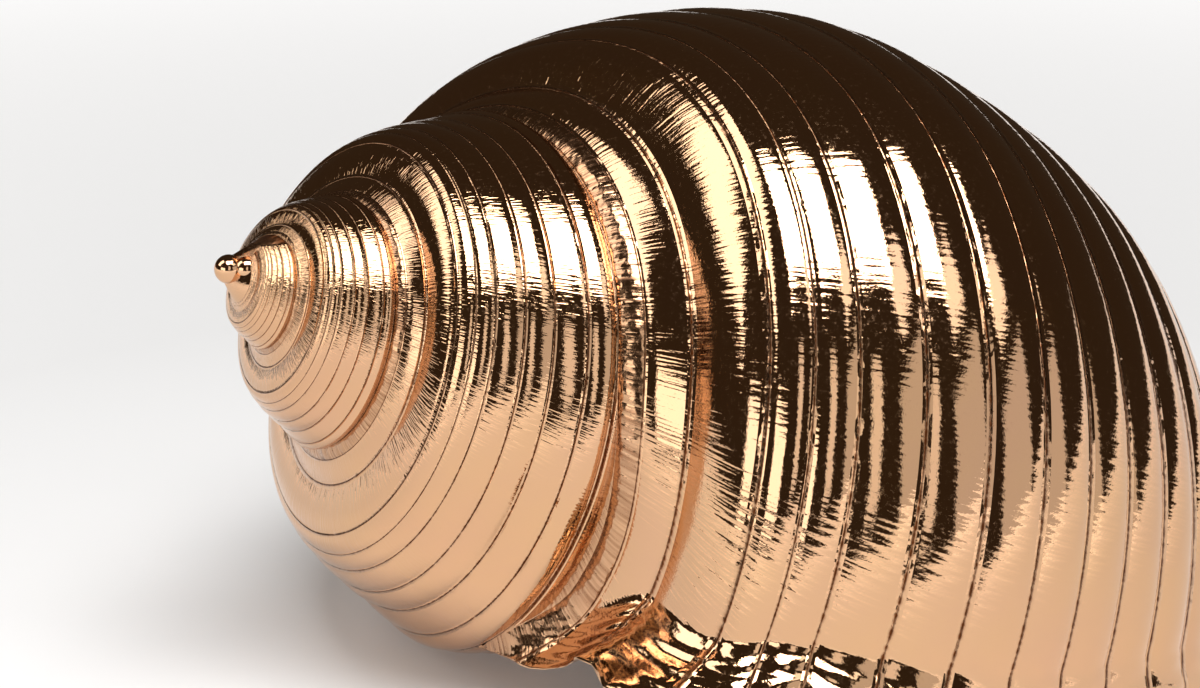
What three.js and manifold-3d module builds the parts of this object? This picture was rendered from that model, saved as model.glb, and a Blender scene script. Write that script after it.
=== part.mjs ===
// A tun shell in polished bronze, lying on its mouth: a low spire of whorls that grow by one
// ratio a turn, round cords along every whorl, and a wide mouth with a flared lip.
import * as THREE from 'three';
import { mergeVertices } from 'three/addons/utils/BufferGeometryUtils.js';
import Module from 'manifold-3d';

const { clamp, degToRad, smoothstep } = THREE.MathUtils;

// Sizes in millimetres
const SUTURE_RADIUS = 35;
const APEX_HEIGHT = 68.5;
const KNOB_RADIUS = 2.2;
const KNOB_INSET = 2;
const KNOB_SIDES = 14;
const KNOB_RINGS = 9;

// How the shell lies and coils. Angles round the axis are in radians from the top of the resting
// shell, growing towards the lip's side.
const AXIS_DROP = degToRad(22.9);
const WHORL_RATIO = 2.23;
const TURNS = 3.5;
const STEPS_PER_TURN = 22;
const HOLLOW_STEPS = 20;
const LIP_ANGLE = 2.66;
const LIP_WIDTH = 0.26;
const SWELL_END = -1.6;

// Where the lip turns outward: the angle at the shoulder, what it loses for each suture radius
// towards the base, and what it gains at the suture, fading away from it.
const FLARE_ANGLE = 2;
const FLARE_SLOPE = 0.11;
const FLARE_GAIN = 0.36;
const FLARE_FADE = 0.12;

// How much stouter the upper whorls are than an even coil, and how much slimmer the back of the last one.
// The angles are where each comes in or goes out, and the heights are where it does so along a whorl.
const UPPER_STOUT = 0.045;
const UPPER_END = [-6.6, -5.2];
const BACK_SLIM = 0.115;
const BACK_START = [-2.4, -0.9];
const BACK_END = [-0.4, 0.9];
const GIRTH_RISE = [1.1, 1.3];
const GIRTH_END = [2.2, 2.4];

// One whorl cut through the axis, in shares of the suture radius: distance from the axis, then
// distance along it from the apex. It runs from the suture to the foot of the pillar.
const WHORL_OUTLINE = [
  [0.917, 1.049], [1.0, 1.1], [1.148, 1.184], [1.463, 1.259], [1.654, 1.483], [1.848, 1.915],
  [1.879, 2.306], [1.775, 2.97], [1.57, 3.4], [1.18, 3.7], [0.6, 3.8], [0.3, 3.8],
];
const SHOULDER_WIDTHS = [0.098, 0.17, 0.324, 0.148, 0.148];
const CORD_WIDTH = 0.226;
const OPEN_CORDS = 4;
const COVERED_CORDS = 8;
const BASE_STRIPS = 2;
const CORD_RELIEF = 0.018;
const CORD_CREST = [0.18, 0.82];
const WALL = 0.08;
const LIP_FLARE = 0.24;
const FLARE_RISE = [1.05, 1.24];
const FLARE_END = [2.9, 3.75];
const SPIRE_SWELL = 0.09;
const SWELL_START = [1.85, 2.35];

const GROWTH = Math.log(WHORL_RATIO) / (2 * Math.PI);
const STEP = (2 * Math.PI) / STEPS_PER_TURN;
const APEX = new THREE.Vector3(0, 0, APEX_HEIGHT);
const AXIS = new THREE.Vector3(Math.cos(AXIS_DROP), 0, -Math.sin(AXIS_DROP));
const TOP = new THREE.Vector3(Math.sin(AXIS_DROP), 0, Math.cos(AXIS_DROP));
const LIP_SIDE = new THREE.Vector3(0, -1, 0);

const SUTURE_HEIGHT = WHORL_OUTLINE[0][1];
const outlineCurve = new THREE.SplineCurve(WHORL_OUTLINE.map(([r, h]) => new THREE.Vector2(r, h)));
const outlineLength = outlineCurve.getLength();

// The outline at a length along it, moved out by a height, and where the lip turns outward there.
function outlineAt(length, height) {
  const u = clamp(length / outlineLength, 0, 1);
  const tangent = outlineCurve.getTangentAt(u);
  const normal = new THREE.Vector2(tangent.y, -tangent.x);
  const share = outlineCurve.getPointAt(u);
  const gain = FLARE_GAIN * Math.exp((SUTURE_HEIGHT - share.y) / FLARE_FADE);
  const flareStart = FLARE_ANGLE - FLARE_SLOPE * share.y + gain;
  return { share: share.addScaledVector(normal, height), normal, flareStart };
}

// The grooves between the cords, as lengths along the outline, the first at the suture.
function grooveLengths() {
  const widths = [...SHOULDER_WIDTHS, ...Array(OPEN_CORDS + COVERED_CORDS).fill(CORD_WIDTH)];
  const lengths = [0];
  for (const width of widths) {
    lengths.push(lengths.at(-1) + width);
  }
  const rest = outlineLength - lengths.at(-1);
  for (let i = 1; i <= BASE_STRIPS; i++) {
    lengths.push(outlineLength - rest + (rest * i) / BASE_STRIPS);
  }
  return lengths;
}

const grooves = grooveLengths();

// The outside of a whorl: every cord rises from one groove to a flat crest, and falls to the next.
function outsideOutline() {
  const points = [];
  for (let i = 0; i + 1 < grooves.length; i++) {
    const width = grooves[i + 1] - grooves[i];
    const relief = grooves[i + 1] > outlineLength - CORD_WIDTH ? 0 : CORD_RELIEF;
    points.push(outlineAt(grooves[i], 0));
    for (const place of CORD_CREST) {
      points.push(outlineAt(grooves[i] + place * width, relief));
    }
  }
  points.push(outlineAt(grooves.at(-1), 0));
  return points;
}

const outside = outsideOutline();
const inside = grooves.map((length) => outlineAt(length, -WALL));
const pointsPerCord = CORD_CREST.length + 1;
const nextSuture = pointsPerCord * (SHOULDER_WIDTHS.length + OPEN_CORDS);
const lastPoint = outside.length - 1;
const lastInside = inside.length - 1;
const lipStep = TURNS * STEPS_PER_TURN;
const mouthStep = lipStep - STEPS_PER_TURN;
const hollowStep = lipStep - HOLLOW_STEPS;

// A point of the whorl at a step of the coil. The last half turn is drawn out to the lip's edge, the
// girth departs a little from an even coil, and the lip leans out along the normal.
function whorlPoint(point, step) {
  const { share, normal, flareStart } = point;
  const evenAngle = LIP_ANGLE - (lipStep - step) * STEP;
  const draw = clamp(1 + (evenAngle - LIP_ANGLE) / Math.PI, 0, 1);
  const angle = evenAngle + draw * (flareStart + LIP_WIDTH - LIP_ANGLE);
  const spire = 1 - smoothstep(angle, LIP_ANGLE - 2 * Math.PI, SWELL_END);
  const swell = 1 + SPIRE_SWELL * spire * smoothstep(share.y, ...SWELL_START);
  const lean = clamp((angle - flareStart) / LIP_WIDTH, 0, 1) ** 2;
  const reach = smoothstep(share.y, ...FLARE_RISE) - smoothstep(share.y, ...FLARE_END);
  const flare = LIP_FLARE * lean * reach;
  const scale = SUTURE_RADIUS * Math.exp(GROWTH * angle);
  const upper = 1 - smoothstep(angle, ...UPPER_END);
  const back = smoothstep(angle, ...BACK_START) - smoothstep(angle, ...BACK_END);
  const stout = UPPER_STOUT * upper * (1 - smoothstep(share.y, ...GIRTH_END)) - BACK_SLIM * back;
  const girth = swell + stout * smoothstep(share.y, ...GIRTH_RISE);
  const across = scale * (share.x * girth + normal.x * flare);
  const along = scale * (share.y + normal.y * flare);
  return APEX.clone()
    .addScaledVector(AXIS, along)
    .addScaledVector(TOP, across * Math.cos(angle))
    .addScaledVector(LIP_SIDE, across * Math.sin(angle));
}

// The whole surface of the coil as one closed skin. Each whorl starts on the line where the whorl
// before it ends in sight, so the suture's points belong to both.
function coilSkin() {
  const positions = [];
  const triangles = [];
  const known = new Map();
  const addPoint = (key, place) => {
    if (!known.has(key)) {
      known.set(key, positions.length / 3);
      positions.push(...place().toArray());
    }
    return known.get(key);
  };
  const outer = (step, i) => {
    if (i === 0 && step >= STEPS_PER_TURN) {
      return outer(step - STEPS_PER_TURN, nextSuture);
    }
    return addPoint(`outer ${step} ${i}`, () => whorlPoint(outside[i], step));
  };
  const inner = (step, i) => {
    if (i === 0) {
      return outer(step - STEPS_PER_TURN, nextSuture + 1);
    }
    return addPoint(`inner ${step} ${i}`, () => whorlPoint(inside[i], step));
  };
  const quad = (a, b, c, d) => triangles.push(a, b, c, a, c, d);
  const outerStrip = (firstStep, endStep, first, end) => {
    for (let s = firstStep; s < endStep; s++) {
      for (let i = first; i < end; i++) {
        quad(outer(s, i), outer(s + 1, i), outer(s + 1, i + 1), outer(s, i + 1));
      }
    }
  };

  // The whorls in sight, the base of the last one, and the whorl that shows inside the mouth.
  outerStrip(0, lipStep, 0, nextSuture);
  outerStrip(mouthStep, lipStep, nextSuture, lastPoint);
  outerStrip(hollowStep - STEPS_PER_TURN, mouthStep, nextSuture + 1, lastPoint);

  // The inside of the last whorl, and the pillar between it and the whorl before.
  for (let s = hollowStep; s < lipStep; s++) {
    for (let i = 0; i < lastInside; i++) {
      quad(inner(s, i), inner(s, i + 1), inner(s + 1, i + 1), inner(s + 1, i));
    }
    const foot = outer(s - STEPS_PER_TURN, lastPoint);
    const nextFoot = outer(s + 1 - STEPS_PER_TURN, lastPoint);
    quad(inner(s, lastInside), foot, nextFoot, inner(s + 1, lastInside));
  }

  // The blind end of the hollow.
  const endLoop = inside.map((point, i) => ({ share: point.share, index: inner(hollowStep, i) }));
  endLoop[0].share = outside[nextSuture + 1].share.clone().divideScalar(WHORL_RATIO);
  for (let i = lastPoint; i > nextSuture + 1; i--) {
    const share = outside[i].share.clone().divideScalar(WHORL_RATIO);
    endLoop.push({ share, index: outer(hollowStep - STEPS_PER_TURN, i) });
  }
  for (const face of THREE.ShapeUtils.triangulateShape(endLoop.map((point) => point.share), [])) {
    const [a, b, c] = face.map((i) => endLoop[i].index);
    triangles.push(a, c, b);
  }

  // The edge of the lip, cord by cord.
  for (let i = 0; i < lastInside; i++) {
    const first = i * pointsPerCord;
    const near = inner(lipStep, i);
    const far = inner(lipStep, i + 1);
    for (let j = first; j < first + CORD_CREST.length; j++) {
      triangles.push(near, outer(lipStep, j + 1), outer(lipStep, j));
    }
    const crest = outer(lipStep, first + CORD_CREST.length);
    triangles.push(near, far, crest);
    triangles.push(far, outer(lipStep, first + pointsPerCord), crest);
  }

  // The foot of the pillar and the tip of the spire, each closed by a fan to the axis.
  const footLoop = [];
  for (let s = mouthStep; s <= lipStep; s++) {
    footLoop.push(outer(s, lastPoint));
  }
  footLoop.push(inner(lipStep, lastInside));
  const footScale = SUTURE_RADIUS * Math.exp(GROWTH * (LIP_ANGLE - Math.PI));
  const footHeight = footScale * outside[lastPoint].share.y;
  const footMiddle = addPoint('foot', () => APEX.clone().addScaledVector(AXIS, footHeight));
  footLoop.forEach((index, i) => triangles.push(footMiddle, index, footLoop[(i + 1) % footLoop.length]));

  const tipLoop = [];
  for (let s = STEPS_PER_TURN; s > 0; s--) {
    tipLoop.push(outer(s, 0));
  }
  for (let i = 0; i < nextSuture; i++) {
    tipLoop.push(outer(0, i));
  }
  const tip = addPoint('tip', () => APEX.clone());
  tipLoop.forEach((index, i) => triangles.push(tip, index, tipLoop[(i + 1) % tipLoop.length]));
  return { positions, triangles };
}

const wasm = await Module();
wasm.setup();

function toSolid({ positions, triangles }) {
  const mesh = new wasm.Mesh({
    numProp: 3,
    vertProperties: new Float32Array(positions),
    triVerts: new Uint32Array(triangles),
  });
  return new wasm.Manifold(mesh);
}

function solidFromGeometry(geometry) {
  geometry.deleteAttribute('normal');
  geometry.deleteAttribute('uv');
  const merged = mergeVertices(geometry);
  return toSolid({ positions: merged.attributes.position.array, triangles: merged.index.array });
}

// The round knob that the coil starts from.
function makeKnob() {
  const knob = new THREE.SphereGeometry(KNOB_RADIUS, KNOB_SIDES, KNOB_RINGS);
  knob.translate(...APEX.clone().addScaledVector(AXIS, KNOB_INSET).toArray());
  return solidFromGeometry(knob);
}

// Everything under the surface that the shell rests on, so that what reaches it ends flat.
function makeBelowRest() {
  const size = 1000;
  const below = new THREE.BoxGeometry(size, size, size);
  below.translate(0, 0, -size / 2);
  return solidFromGeometry(below);
}

function makeShell() {
  const mesh = toSolid(coilSkin()).add(makeKnob()).subtract(makeBelowRest()).getMesh();
  const geometry = new THREE.BufferGeometry();
  geometry.setAttribute('position', new THREE.BufferAttribute(mesh.vertProperties, 3));
  geometry.setIndex(new THREE.BufferAttribute(mesh.triVerts, 1));
  geometry.computeBoundingBox();
  const middle = geometry.boundingBox.getCenter(new THREE.Vector3());
  geometry.translate(-middle.x, -middle.y, 0);
  geometry.computeVertexNormals();
  return geometry;
}

const bronze = new THREE.MeshStandardMaterial({ color: 0xd9a978, roughness: 0.12, metalness: 1 });
const shell = new THREE.Mesh(makeShell(), bronze);
shell.name = 'shell';

const tunShell = new THREE.Group();
tunShell.add(shell);

export default tunShell;
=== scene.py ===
import math

import bmesh
import bpy
import numpy as np
from mathutils import Matrix, Vector


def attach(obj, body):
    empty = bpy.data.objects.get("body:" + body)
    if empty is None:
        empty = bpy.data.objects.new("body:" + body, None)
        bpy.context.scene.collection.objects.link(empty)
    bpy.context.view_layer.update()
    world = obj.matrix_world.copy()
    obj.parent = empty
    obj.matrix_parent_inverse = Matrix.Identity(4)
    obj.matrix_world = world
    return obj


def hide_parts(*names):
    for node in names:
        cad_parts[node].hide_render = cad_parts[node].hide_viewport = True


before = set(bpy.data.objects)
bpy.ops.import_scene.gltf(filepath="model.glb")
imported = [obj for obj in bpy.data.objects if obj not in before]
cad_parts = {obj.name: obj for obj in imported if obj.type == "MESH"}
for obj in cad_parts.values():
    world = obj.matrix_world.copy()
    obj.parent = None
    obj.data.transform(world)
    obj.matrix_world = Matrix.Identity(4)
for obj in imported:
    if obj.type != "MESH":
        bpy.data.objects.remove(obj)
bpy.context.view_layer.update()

# SHELL
# A tun shell cast in bronze and polished to a mirror: one coil that grows by one ratio a turn, with round
# cords along every whorl. The casting keeps the shell's own growth lines and pits; the brown in its seams is
# painted shade.

# Angles are in radians about the axis, from the top towards the lip. Widths, heights and reaches along the
# axis are shares of the suture radius, and a pair of values is where a change begins and ends.
MM = 0.001
SUTURE_RADIUS = 35 * MM
APEX = np.array((-76.554, 17.246, 68.5)) * MM
AXIS_DROP = math.radians(22.9)
AXIS = np.array((math.cos(AXIS_DROP), 0, -math.sin(AXIS_DROP)))
TOP = np.array((math.sin(AXIS_DROP), 0, math.cos(AXIS_DROP)))
LIP_SIDE = np.array((0, -1, 0))
WHORL_RATIO = 2.23
GROWTH = math.log(WHORL_RATIO) / (2 * math.pi)
TURNS = 3.5
HOLLOW_SHARE = 0.9
LIP_ANGLE = 2.66
LIP_WIDTH = 0.26

# One whorl cut through the axis, in shares of the suture radius: distance from the axis, then along it.
WHORL_OUTLINE = np.array([
    (0.917, 1.049), (1.0, 1.1), (1.148, 1.184), (1.463, 1.259), (1.654, 1.483), (1.848, 1.915),
    (1.879, 2.306), (1.775, 2.97), (1.57, 3.4), (1.18, 3.7), (0.6, 3.8), (0.3, 3.8),
])
SHOULDER_WIDTHS = [0.098, 0.17, 0.324, 0.148, 0.148]
CORD_WIDTH = 0.226
OPEN_CORDS = 4
COVERED_CORDS = 8
BASE_STRIPS = 2
CORD_RELIEF = 0.018
WALL = 0.08

# Girth: the spire swells low on each whorl, the upper whorls are stouter, the last one slimmer at the back.
SPIRE_SWELL = 0.09
SWELL_START = (1.85, 2.35)
SWELL_END = -1.6
UPPER_STOUT = 0.045
UPPER_END = (-6.6, -5.2)
BACK_SLIM = 0.115
BACK_START = (-2.4, -0.9)
BACK_END = (-0.4, 0.9)
GIRTH_RISE = (1.1, 1.3)
GIRTH_END = (2.2, 2.4)

# Lip: it turns outward into a shelf, narrower at the shoulder, and ends in a tongue on the whorl before it.
LIP_FLARE = 0.24
FLARE_POWER = 1.3
FLARE_ANGLE = 2
FLARE_SLOPE = 0.11
FLARE_RISE = (1.05, 1.24)
FLARE_END = (2.9, 3.75)
SHELF_NARROW = 0.5
SHELF_RISE = (1.1, 1.24)
SHELF_END = (1.5, 2.3)
TONGUE_TURN = 0.5
TONGUE_FADE = 0.12
TONGUE_WIDTH = 0.12
TONGUE_WIDTH_FADE = 0.1
LIP_THINNING = 0.5
CORD_FADING = 0.6

# The suture sags away from the spire just before the lip.
SUTURE_DROP = 0.09
SAG_START = (1.4, 2.1)
SAG_END = (2.25, 2.6)
SAG_FADE = 0.3

# Crinkles along the lip (height, waves, slant, shift), and its growth layers and how they wander (height,
# waves, shift).
FRILL = [(0.02, 31, 5, 0), (0.012, 53, 0, 2)]
FRILL_POWER = 1.5
LAYERS = 5
LAYER_HEIGHT = 0.006
LAYER_RISE = 3
WANDER = [(1.2, 9, 0), (0.8, 23, 1), (0.5, 41, 2)]


def smoothstep(value, low, high):
    share = np.clip((value - low) / (high - low), 0, 1)
    return share * share * (3 - 2 * share)


# The outline as a smooth curve through its points, measured along its length.
def outline_curve(points, pieces=60):
    padded = np.vstack([points[:1], points, points[-1:]])
    curve = []
    for before, start, end, after in zip(padded, padded[1:], padded[2:], padded[3:]):
        t = np.linspace(0, 1, pieces, endpoint=False)[:, None]
        leave = (end - before) / 2
        arrive = (after - start) / 2
        cubic = (2 * start - 2 * end + leave + arrive) * t**3
        square = (-3 * start + 3 * end - 2 * leave - arrive) * t**2
        curve.append(cubic + square + leave * t + start)
    return np.vstack(curve + [points[-1:]])


curve = outline_curve(WHORL_OUTLINE)
curve_length = np.concatenate([[0], np.cumsum(np.linalg.norm(np.diff(curve, axis=0), axis=1))])
curve_slope = np.gradient(curve, curve_length, axis=0)
curve_slope /= np.linalg.norm(curve_slope, axis=1)[:, None]

# Grooves between the cords, as lengths along the outline from the suture to the foot of the pillar.
cord_widths = SHOULDER_WIDTHS + [CORD_WIDTH] * (OPEN_CORDS + COVERED_CORDS)
strip = (curve_length[-1] - sum(cord_widths)) / BASE_STRIPS
cord_widths += [strip] * BASE_STRIPS

# Every cord is a low arch between two narrow grooves, and the places across it are closest at the grooves.
CORD_PLACES = np.array([0, 0.03, 0.08, 0.18, 0.33, 0.5, 0.67, 0.82, 0.92, 0.97])
POINTS_PER_CORD = len(CORD_PLACES)
ARCH_POWER = 2.3

# How dark the painted shade lies: full in a groove, half on the collar beside the suture, less inside the
# mouth.
GROOVE_SHARE = 0.05
COLLAR_SHADE = 0.5
INSIDE_SHADE = 0.35

lengths, heights, crevices = [], [], []
groove = 0.0
for number, width in enumerate(cord_widths):
    arch = 1 - np.abs(2 * CORD_PLACES - 1) ** ARCH_POWER
    covered = number >= len(cord_widths) - BASE_STRIPS
    relief = 0 if covered else CORD_RELIEF * min(1, width / CORD_WIDTH) ** 0.5
    lengths.extend(groove + CORD_PLACES * width)
    heights.extend(relief * arch)
    edge = np.minimum(CORD_PLACES, 1 - CORD_PLACES)
    collar = COLLAR_SHADE if number == 0 else 0
    crevices.extend(0 * edge if covered else np.clip(1 - edge / GROOVE_SHARE, collar, 1))
    groove += width
lengths = np.array(lengths + [groove])
heights = np.array(heights + [0])
crevices = np.array(crevices + [0])

next_suture = POINTS_PER_CORD * (len(SHOULDER_WIDTHS) + OPEN_CORDS)
last_point = len(lengths) - 1

# Steps of the coil, as angles back from the lip. They lie close together at the lip, where it turns outward.
LIP_STEPS = 44
LIP_STEP = 0.009
EVEN_STEPS = 106
turn_back = np.concatenate([np.arange(LIP_STEPS) * LIP_STEP,
                            np.linspace(LIP_STEPS * LIP_STEP, 2 * math.pi, EVEN_STEPS, endpoint=False)])
STEPS_PER_TURN = len(turn_back)
lip_step = round(TURNS * STEPS_PER_TURN)
mouth_step = lip_step - STEPS_PER_TURN
hollow_step = lip_step - round(HOLLOW_SHARE * STEPS_PER_TURN)


def coil_surface(lengths, heights, steps):
    """Points of the coil, a row for each step, for places along the outline moved out by their heights."""
    r = np.interp(lengths, curve_length, curve[:, 0])
    h = np.interp(lengths, curve_length, curve[:, 1])
    slope_r = np.interp(lengths, curve_length, curve_slope[:, 0])
    slope_h = np.interp(lengths, curve_length, curve_slope[:, 1])
    near_suture = WHORL_OUTLINE[0, 1] - h
    flare_start = FLARE_ANGLE - FLARE_SLOPE * h + TONGUE_TURN * np.exp(near_suture / TONGUE_FADE)
    shoulder = smoothstep(h, *SHELF_RISE) - smoothstep(h, *SHELF_END)
    tongue_width = TONGUE_WIDTH * np.exp(near_suture / TONGUE_WIDTH_FADE)
    lip_width = LIP_WIDTH * (1 - SHELF_NARROW * shoulder) + tongue_width
    back_turns, back_steps = np.divmod(lip_step - np.asarray(steps), STEPS_PER_TURN)
    even = (LIP_ANGLE - 2 * math.pi * back_turns - turn_back[back_steps])[:, None]
    draw = np.clip(1 + (even - LIP_ANGLE) / math.pi, 0, 1)
    angle = even + draw * (flare_start + lip_width - LIP_ANGLE)

    spire = 1 - smoothstep(angle, LIP_ANGLE - 2 * math.pi, SWELL_END)
    upper = 1 - smoothstep(angle, *UPPER_END)
    back = smoothstep(angle, *BACK_START) - smoothstep(angle, *BACK_END)
    stout = UPPER_STOUT * upper * (1 - smoothstep(h, *GIRTH_END)) - BACK_SLIM * back
    girth = 1 + SPIRE_SWELL * spire * smoothstep(h, *SWELL_START) + stout * smoothstep(h, *GIRTH_RISE)

    bend = np.clip((angle - flare_start) / lip_width, 0, 1)
    reach = smoothstep(h, *FLARE_RISE) - smoothstep(h, *FLARE_END)
    frill = sum(size * np.sin(waves * lengths + slant * bend + shift) for size, waves, slant, shift in FRILL)
    wander = sum(size * np.sin(waves * lengths + shift) for size, waves, shift in WANDER)
    layers = LAYER_HEIGHT * np.sin(2 * math.pi * LAYERS * bend + wander) * np.minimum(1, LAYER_RISE * bend)
    flare = reach * (LIP_FLARE * bend**FLARE_POWER + frill * bend**FRILL_POWER + layers)
    height = heights * np.where(heights < 0, 1 - LIP_THINNING * bend, 1 - CORD_FADING * bend) + flare
    sag = smoothstep(angle, *SAG_START) - smoothstep(angle, *SAG_END)
    drop = SUTURE_DROP * sag * np.exp(near_suture / SAG_FADE)

    scale = SUTURE_RADIUS * np.exp(GROWTH * angle)
    across = (scale * (r * girth + slope_h * height))[..., None]
    along = (scale * (h - slope_r * height + drop))[..., None]
    turn = angle[..., None]
    return APEX + AXIS * along + TOP * across * np.cos(turn) + LIP_SIDE * across * np.sin(turn), angle


# The skin of the whole coil. The first line of each whorl is the line of the whorl before where it goes out
# of sight, so the two meet in the suture.
steps = np.arange(lip_step + 1)
outside, outside_angle = coil_surface(lengths, heights, steps)
outside[STEPS_PER_TURN:, 0] = outside[:-STEPS_PER_TURN, next_suture]
inside_lengths = lengths[::2]
inside, inside_angle = coil_surface(inside_lengths, np.full(len(inside_lengths), -WALL), steps)
inside[STEPS_PER_TURN:, 0] = outside[:-STEPS_PER_TURN, next_suture + 2]

skin = bmesh.new()
crevice_layer = skin.verts.layers.float.new("crevice")
coil_layer = skin.loops.layers.uv.new("coil")
known = {}

# The growth lines are laid out at the size of the last whorl: its radius round the axis and its suture radius.
LAST_WHORL_RADIUS = 75 * MM
LAST_SUTURE_RADIUS = 45 * MM


def outer(step, i):
    if i == 0 and step >= STEPS_PER_TURN:
        return outer(step - STEPS_PER_TURN, next_suture)
    if (step, i) not in known:
        vert = skin.verts.new(outside[step, i])
        vert[crevice_layer] = crevices[i]
        known[step, i] = vert
    return known[step, i]


def inner(step, i):
    if i == 0:
        return outer(step - STEPS_PER_TURN, next_suture + 2)
    key = ("inner", step, i)
    if key not in known:
        vert = skin.verts.new(inside[step, i])
        vert[crevice_layer] = INSIDE_SHADE
        known[key] = vert
    return known[key]


def quad(corners, places):
    face = skin.faces.new(corners)
    face.smooth = True
    for loop, (round_angle, across) in zip(face.loops, places):
        loop[coil_layer].uv = (round_angle * LAST_WHORL_RADIUS, across * LAST_SUTURE_RADIUS)


def outer_strip(first_step, end_step, first, end):
    for s in range(first_step, end_step):
        for i in range(first, end):
            spots = [(s, i), (s + 1, i), (s + 1, i + 1), (s, i + 1)]
            quad([outer(*spot) for spot in spots],
                 [(outside_angle[spot], lengths[spot[1]]) for spot in spots])


outer_strip(0, lip_step, 0, next_suture)
outer_strip(mouth_step, lip_step, next_suture, last_point)
outer_strip(hollow_step - STEPS_PER_TURN, mouth_step, next_suture + 2, last_point)

last_inside = len(inside_lengths) - 1
for s in range(hollow_step, lip_step):
    for i in range(last_inside):
        spots = [(s, i), (s, i + 1), (s + 1, i + 1), (s + 1, i)]
        quad([inner(*spot) for spot in spots],
             [(inside_angle[spot], inside_lengths[spot[1]]) for spot in spots])
    corners = [inner(s, last_inside), outer(s - STEPS_PER_TURN, last_point),
               outer(s + 1 - STEPS_PER_TURN, last_point), inner(s + 1, last_inside)]
    quad(corners, [(inside_angle[s, 0], curve_length[-1])] * 4)

# The blind end of the hollow, the edge of the lip, and the foot of the pillar.
end_loop = [inner(hollow_step, i) for i in range(last_inside + 1)]
end_loop += [outer(hollow_step - STEPS_PER_TURN, i) for i in range(last_point, next_suture + 2, -1)]
skin.faces.new(end_loop[::-1])

LIP_ROUND = 0.3
lip_edge = []
for i in range(last_inside + 1):
    near, far = inner(lip_step, i).co, outer(lip_step, 2 * i).co
    onward = Vector(outside[lip_step, 2 * i] - outside[lip_step - 1, 2 * i]).normalized()
    lip_edge.append(skin.verts.new((near + far) / 2 + onward * (far - near).length * LIP_ROUND))
for i in range(last_inside):
    skin.faces.new([lip_edge[i], lip_edge[i + 1], outer(lip_step, 2 * i + 2), outer(lip_step, 2 * i + 1),
                    outer(lip_step, 2 * i)]).smooth = True
    skin.faces.new([inner(lip_step, i), inner(lip_step, i + 1), lip_edge[i + 1], lip_edge[i]]).smooth = True

foot_loop = [outer(s, last_point) for s in range(mouth_step, lip_step + 1)]
foot_loop += [lip_edge[-1], inner(lip_step, last_inside)]
foot_scale = SUTURE_RADIUS * math.exp(GROWTH * (LIP_ANGLE - math.pi))
foot_middle = skin.verts.new(APEX + AXIS * foot_scale * WHORL_OUTLINE[-1, 1])
for first, second in zip(foot_loop, foot_loop[1:] + foot_loop[:1]):
    skin.faces.new([foot_middle, first, second]).smooth = True

tip_loop = [outer(s, 0) for s in range(STEPS_PER_TURN, 0, -1)] + [outer(0, i) for i in range(next_suture)]
tip = skin.verts.new(APEX)
for first, second in zip(tip_loop, tip_loop[1:] + tip_loop[:1]):
    skin.faces.new([tip, first, second]).smooth = True

# The part of the belly, the lip and the base that the shell lies on is worn flat.
cut = bmesh.ops.bisect_plane(skin, geom=skin.verts[:] + skin.edges[:] + skin.faces[:], plane_co=(0, 0, 0),
                             plane_no=(0, 0, 1), clear_inner=True)
rim = [part for part in cut["geom_cut"] if isinstance(part, bmesh.types.BMEdge)]
bmesh.ops.triangle_fill(skin, edges=rim, use_beauty=True, use_dissolve=False, normal=(0, 0, -1))

# The two round lobes of the first coil, at the tip of the spire, the smaller one beside the other. In mm: along
# the axis, towards the lip's side, over the axis, and radius. The painted shade is left off the tip.
LOBES = [(2.2, 0, 0, 2.1), (4.2, 1.3, 0.8, 2.0)]
UNSHADED_TIP = 8 * MM
for on, aside, over, radius in LOBES:
    lobe_middle = APEX + (AXIS * on + LIP_SIDE * aside + TOP * over) * MM
    bmesh.ops.create_uvsphere(skin, u_segments=32, v_segments=20, radius=radius * MM,
                              matrix=Matrix.Translation(lobe_middle))
for vert in skin.verts:
    if (vert.co - Vector(APEX)).length < UNSHADED_TIP:
        vert[crevice_layer] = 0
        for face in vert.link_faces:
            face.smooth = True

shell_mesh = bpy.data.meshes.new("shell_coil")
skin.to_mesh(shell_mesh)
skin.free()
shell = bpy.data.objects.new("shell_coil", shell_mesh)
bpy.context.collection.objects.link(shell)


def linear(hex_colour):
    """An sRGB hex colour as linear RGBA."""
    parts = [int(hex_colour[i:i + 2], 16) / 255 for i in (1, 3, 5)]
    return [part / 12.92 if part <= 0.04045 else ((part + 0.055) / 1.055) ** 2.4 for part in parts] + [1]


def add_node(tree, kind, links=(), **settings):
    """Adds a node, sets its properties and its inputs by name, and links sockets to its inputs."""
    node = tree.nodes.new(kind)
    for name, value in settings.items():
        if hasattr(node, name):
            setattr(node, name, value)
        else:
            node.inputs[name.replace("_", " ")].default_value = value
    for socket, name in links:
        tree.links.new(socket, node.inputs[name])
    return node


# Cast bronze, polished: a warm rose-gold mirror, with painted shade in brown in the seams. Fine
# growth lines run across the cords and small pits lie between them, so every reflection has a ragged edge.
NEW_POLISH = "#D9AE80"
OLD_POLISH = "#D1A486"
SEAM_SHADE_BROWN = "#6B3A1C"
bronze = bpy.data.materials.new("polished_bronze")
bronze.use_nodes = True
tree = bronze.node_tree
polished = tree.nodes["Principled BSDF"]
polished.inputs["Metallic"].default_value = 1

coil = add_node(tree, "ShaderNodeUVMap", uv_map="coil").outputs["UV"]
body = add_node(tree, "ShaderNodeTexCoord").outputs["Object"]
crevice = add_node(tree, "ShaderNodeAttribute", attribute_name="crevice").outputs["Fac"]

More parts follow.
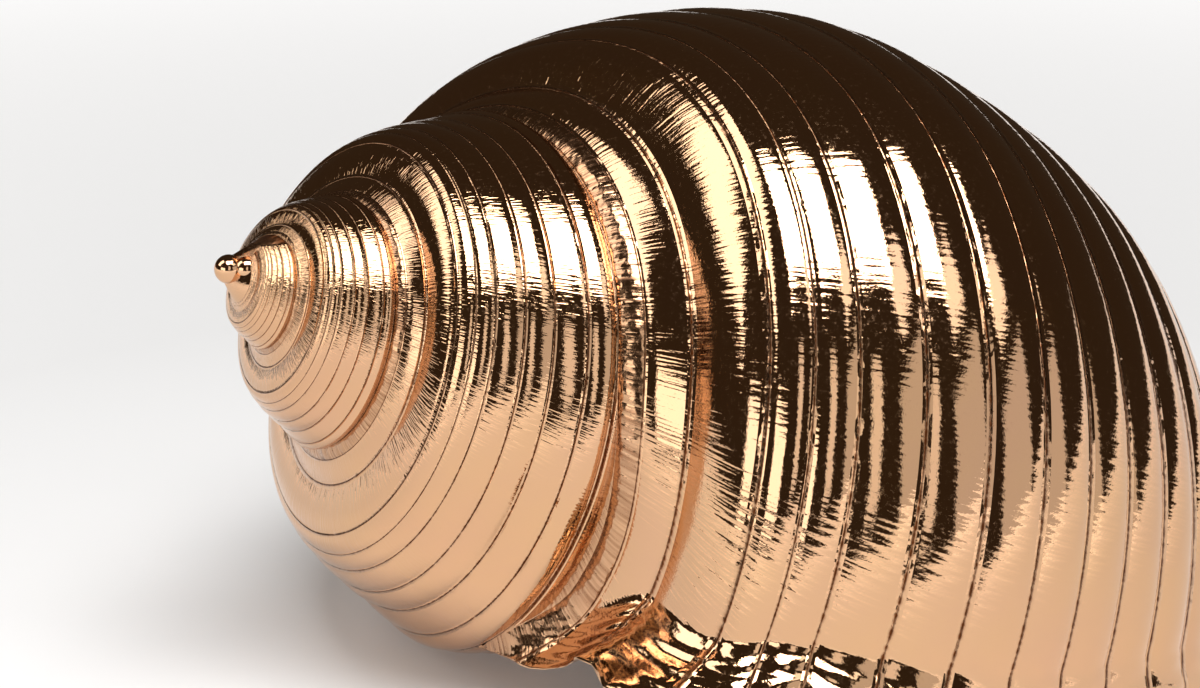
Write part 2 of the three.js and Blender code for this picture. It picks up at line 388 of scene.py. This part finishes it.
# Slow hollows left by hand polishing, and puckers in the seams.
HOLLOW_SIZE = 12 * MM
PUCKER_SIZE = 3 * MM
hollows = add_node(tree, "ShaderNodeTexNoise", [(body, "Vector")],
                   Scale=1 / HOLLOW_SIZE, Detail=2, Roughness=0.5)
slow = add_node(tree, "ShaderNodeBump", [(hollows.outputs["Fac"], "Height")], Distance=0.5 * MM, Strength=0.5)
puckers = add_node(tree, "ShaderNodeTexNoise", [(body, "Vector")],
                   Scale=1 / PUCKER_SIZE, Detail=2, Roughness=0.5)
pucker_depth = add_node(tree, "ShaderNodeMath", [(puckers.outputs["Fac"], 0), (crevice, 1)],
                        operation="MULTIPLY")
puckered = add_node(tree, "ShaderNodeBump",
                    [(pucker_depth.outputs["Value"], "Height"), (slow.outputs["Normal"], "Normal")],
                    Distance=1.2 * MM, Strength=0.7)

# Growth lines across the cords, and pits, which are drawn coarser than the real ones so that they show.
LINE_GAP = 0.9 * MM
LINE_LENGTH = 9 * MM
PIT_SIZE = 0.4 * MM
line_places = add_node(tree, "ShaderNodeMapping", [(coil, "Vector")], Scale=(1 / LINE_GAP, 1 / LINE_LENGTH, 1))
growth_lines = add_node(tree, "ShaderNodeTexNoise", [(line_places.outputs["Vector"], "Vector")],
                        Scale=1, Detail=1, Roughness=0.5)
lined = add_node(tree, "ShaderNodeBump",
                 [(growth_lines.outputs["Fac"], "Height"), (puckered.outputs["Normal"], "Normal")],
                 Distance=0.08 * MM, Strength=0.7)
pits = add_node(tree, "ShaderNodeTexNoise", [(body, "Vector")], Scale=1 / PIT_SIZE, Detail=2, Roughness=0.6)
pitted = add_node(tree, "ShaderNodeBump",
                  [(pits.outputs["Fac"], "Height"), (lined.outputs["Normal"], "Normal")],
                  Distance=0.02 * MM, Strength=0.6)
tree.links.new(pitted.outputs["Normal"], polished.inputs["Normal"])

# Yellower where the polish is newest, rosier where it is older, in wide clouds, and painted shade in brown in
# the seams.
CLOUD_SIZE = 18 * MM
clouds = add_node(tree, "ShaderNodeTexNoise", [(body, "Vector")],
                  Scale=1 / CLOUD_SIZE, Detail=4, Roughness=0.6)
metal = add_node(tree, "ShaderNodeMix", [(clouds.outputs["Fac"], "Factor")], data_type="RGBA")
metal.inputs["A"].default_value = linear(NEW_POLISH)
metal.inputs["B"].default_value = linear(OLD_POLISH)
# Painted shade: brown laid where the crevice mask is high, broken up by the growth lines.
seam = add_node(tree, "ShaderNodeMath", [(crevice, 0), (growth_lines.outputs["Fac"], 1)], operation="MULTIPLY")
seam_share = add_node(tree, "ShaderNodeMapRange", [(seam.outputs["Value"], "Value")],
                      From_Min=0.12, From_Max=0.5)
tint = add_node(tree, "ShaderNodeMix",
                [(seam_share.outputs["Result"], "Factor"), (metal.outputs["Result"], "A")], data_type="RGBA")
tint.inputs["B"].default_value = linear(SEAM_SHADE_BROWN)
tree.links.new(tint.outputs["Result"], polished.inputs["Base Color"])

# A mirror all over but for dull specks of tarnish, and duller in the seams.
SPECK_SIZE = 0.7 * MM
SEAM_ROUGHNESS = 0.35
specks = add_node(tree, "ShaderNodeTexNoise", [(body, "Vector")],
                  Scale=1 / SPECK_SIZE, Detail=3, Roughness=0.7)
speck_share = add_node(tree, "ShaderNodeMapRange", [(specks.outputs["Fac"], "Value")],
                       From_Min=0.52, From_Max=0.8, To_Min=0.04, To_Max=0.28)
dull = add_node(tree, "ShaderNodeMath",
                [(seam_share.outputs["Result"], 0), (speck_share.outputs["Result"], 2)],
                operation="MULTIPLY_ADD")
dull.inputs[1].default_value = SEAM_ROUGHNESS
tree.links.new(dull.outputs["Value"], polished.inputs["Roughness"])
shell_mesh.materials.append(bronze)

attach(shell, "root")
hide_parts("shell")

# FLOOR
# A wide sheet of matt white paper that the shell lies on. It glows by itself, brighter away from the shell:
# painted light that grows with the distance in metres.
FLOOR_RADIUS = 4
PAINTED_GLOW_REACH = (0.2, 1.0)
PAINTED_GLOW = (0.08, 0.98)
bpy.ops.mesh.primitive_circle_add(vertices=96, radius=FLOOR_RADIUS, fill_type="NGON")
floor = bpy.context.object
floor.name = "paper_floor"

# White paper: no gloss, so the shadow of the shell lies on it soft and grey.
paper = bpy.data.materials.new("white_paper")
paper.use_nodes = True
tree = paper.node_tree
matt = tree.nodes["Principled BSDF"]
matt.inputs["Base Color"].default_value = linear("#E4E4E4")
matt.inputs["Roughness"].default_value = 0.9
matt.inputs["Emission Color"].default_value = linear("#FFFFFF")
# Painted light: the paper's emission strength grows with its distance from the middle of the floor.
floor_place = add_node(tree, "ShaderNodeTexCoord").outputs["Object"]
far = add_node(tree, "ShaderNodeVectorMath", [(floor_place, "Vector")], operation="LENGTH")
painted_glow = add_node(tree, "ShaderNodeMapRange", [(far.outputs["Value"], "Value")],
                From_Min=PAINTED_GLOW_REACH[0], From_Max=PAINTED_GLOW_REACH[1], To_Min=PAINTED_GLOW[0], To_Max=PAINTED_GLOW[1])
tree.links.new(painted_glow.outputs["Result"], matt.inputs["Emission Strength"])
floor.data.materials.append(paper)

# LIGHT
# A dark studio with a wide soft box overhead, a narrower one at the left, a white strip at the right, and dim
# cards in front that break up the dark in the mirror of the metal.
room = bpy.data.worlds.new("dark_room")
room.use_nodes = True
room.node_tree.nodes["Background"].inputs["Color"].default_value = linear("#382F25")
bpy.context.scene.world = room
bpy.context.scene.view_settings.view_transform = "Standard"

TO_CAMERA = Vector((-0.537, -0.843, 0))
TO_RIGHT = Vector((0.843, -0.537, 0))
SHELL_MIDDLE = Vector((0, 0, 0.05))
BOX_DISTANCE = 0.9

# Bearing to the camera's right and rise over the floor in degrees, width and height in metres, power in watts.
SOFT_BOXES = {
    "top_box": (15, 66, 0.75, 0.45, 10.5),
    "left_box": (-80, 40, 0.34, 0.6, 1.8),
    "right_strip": (57, 12, 0.66, 0.52, 0.8),
    "front_card": (-40, 11, 0.5, 0.3, 1.1),
    "dim_card": (8, 20, 0.2, 0.5, 0.35),
    "high_card": (58, 43, 0.36, 0.22, 0.45),
}
for name, (bearing, rise, width, height, power) in SOFT_BOXES.items():
    turn, lift = math.radians(bearing), math.radians(rise)
    flat = TO_CAMERA * math.cos(turn) + TO_RIGHT * math.sin(turn)
    place = SHELL_MIDDLE + (flat * math.cos(lift) + Vector((0, 0, math.sin(lift)))) * BOX_DISTANCE
    lamp = bpy.data.lights.new(name, "AREA")
    lamp.shape = "RECTANGLE"
    lamp.size = width
    lamp.size_y = height
    lamp.energy = power
    box = bpy.data.objects.new(name, lamp)
    box.location = place
    box.rotation_mode = "QUATERNION"
    box.rotation_quaternion = (SHELL_MIDDLE - place).to_track_quat("-Z", "Y")
    bpy.context.collection.objects.link(box)

# CAMERA
# Low in front of the spire, on the lip's side, close enough that the base and the lip leave the frame. Its
# place is in mm from the tip of the spire.
CAMERA_PLACE = Vector((-136.75, -315.36, 92.2))
right = Vector((0.8434, -0.5373, 0)).normalized()
forward = Vector((0.5138, 0.8066, -0.2924)).normalized()
up = right.cross(forward)
camera_data = bpy.data.cameras.new("camera")
camera_data.lens = 75
camera_data.sensor_width = 36
camera_data.clip_start = 0.01
camera = bpy.data.objects.new("camera", camera_data)
facing = Matrix((right, up, -forward)).transposed().to_4x4()
camera.matrix_world = Matrix.Translation(Vector(APEX) + CAMERA_PLACE * MM) @ facing
bpy.context.collection.objects.link(camera)
bpy.context.scene.camera = camera
